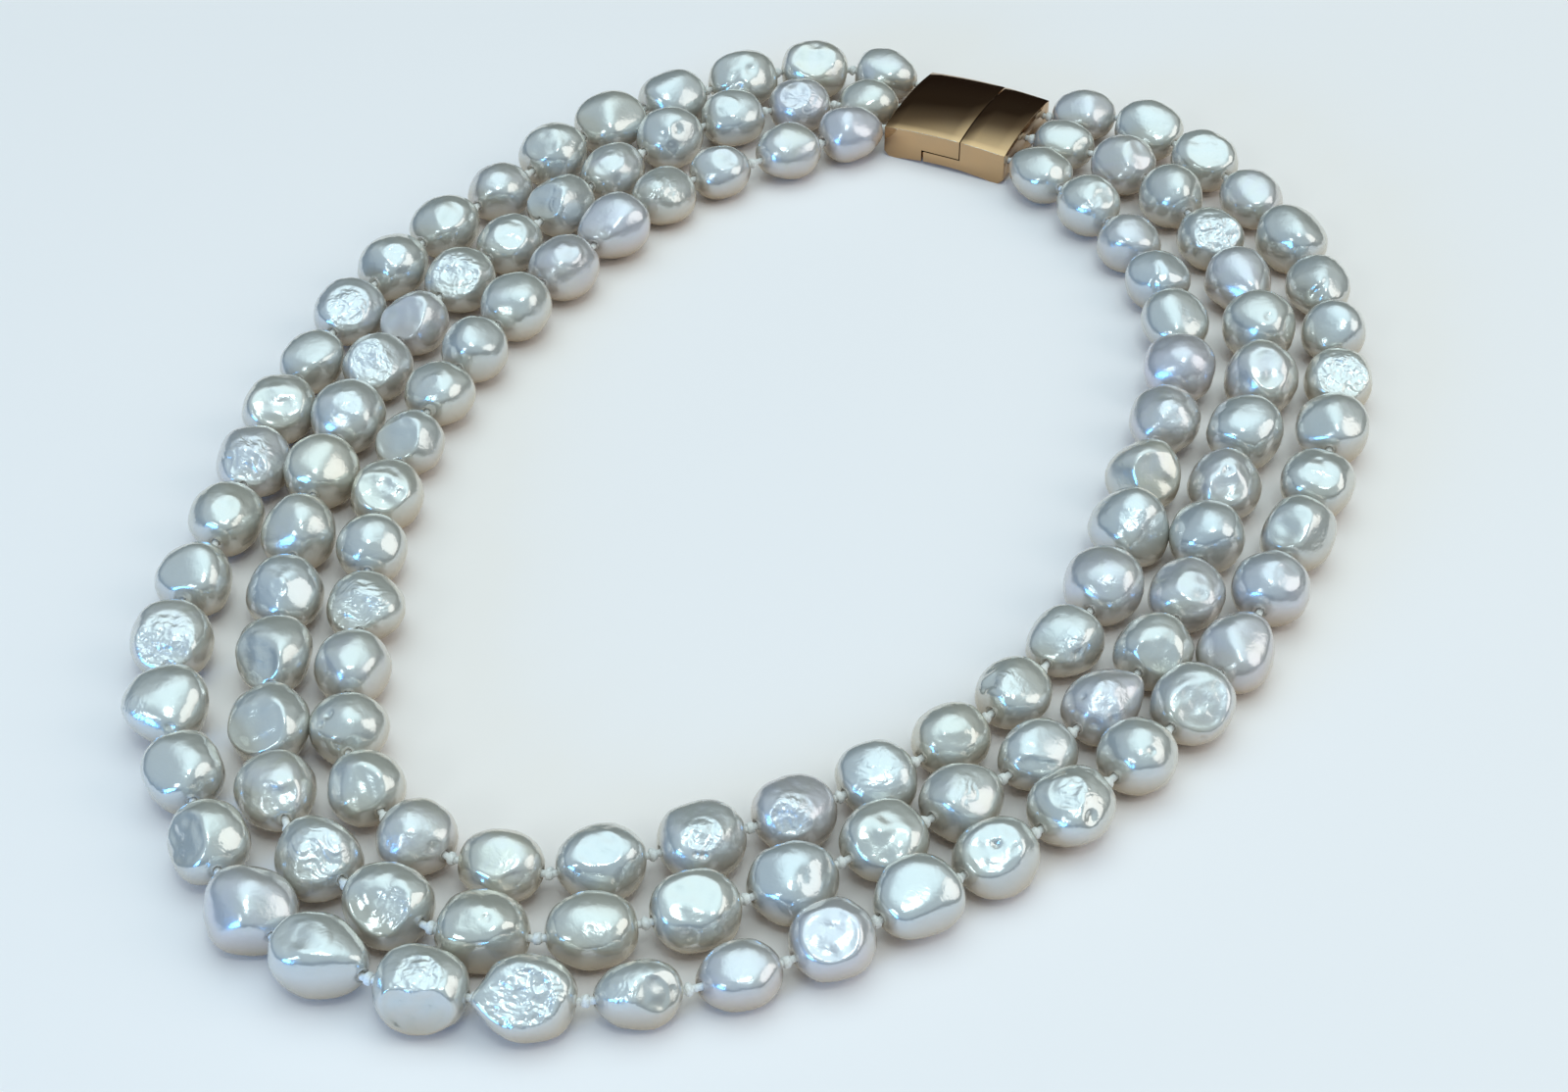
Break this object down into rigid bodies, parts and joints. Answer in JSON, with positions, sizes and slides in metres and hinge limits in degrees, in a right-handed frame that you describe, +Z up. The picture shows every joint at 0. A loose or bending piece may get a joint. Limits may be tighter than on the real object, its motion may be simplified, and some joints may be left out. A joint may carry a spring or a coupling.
{
  "type": "multi strand pearl necklace",
  "caption": "Graduated strands of baroque pearls, knotted on silk and joined by a domed rectangular box clasp, lying closed as a tilted oval loop.",
  "frame": {"origin": "On the table, under the middle of the loop's outer bounds", "axes": "+Z up from the table, -Y towards the viewer of the picture, +X to the viewer's right"},
  "size_m": [0.1523, 0.1917, 0.0093],
  "materials": {
    "nacre": "lustrous silver-white pearl nacre with pink, green and blue overtones",
    "silk": "white knotted silk",
    "gilt": "mirror-polished yellow gold plate"
  },
  "bodies": {
    "root": {"outer_pearls": "nacre", "middle_pearls": "nacre", "inner_pearls": "nacre", "outer_thread": "silk", "middle_thread": "silk", "inner_thread": "silk", "clasp_box": "gilt", "clasp_tongue": "gilt"}
  },
  "joints": []
}
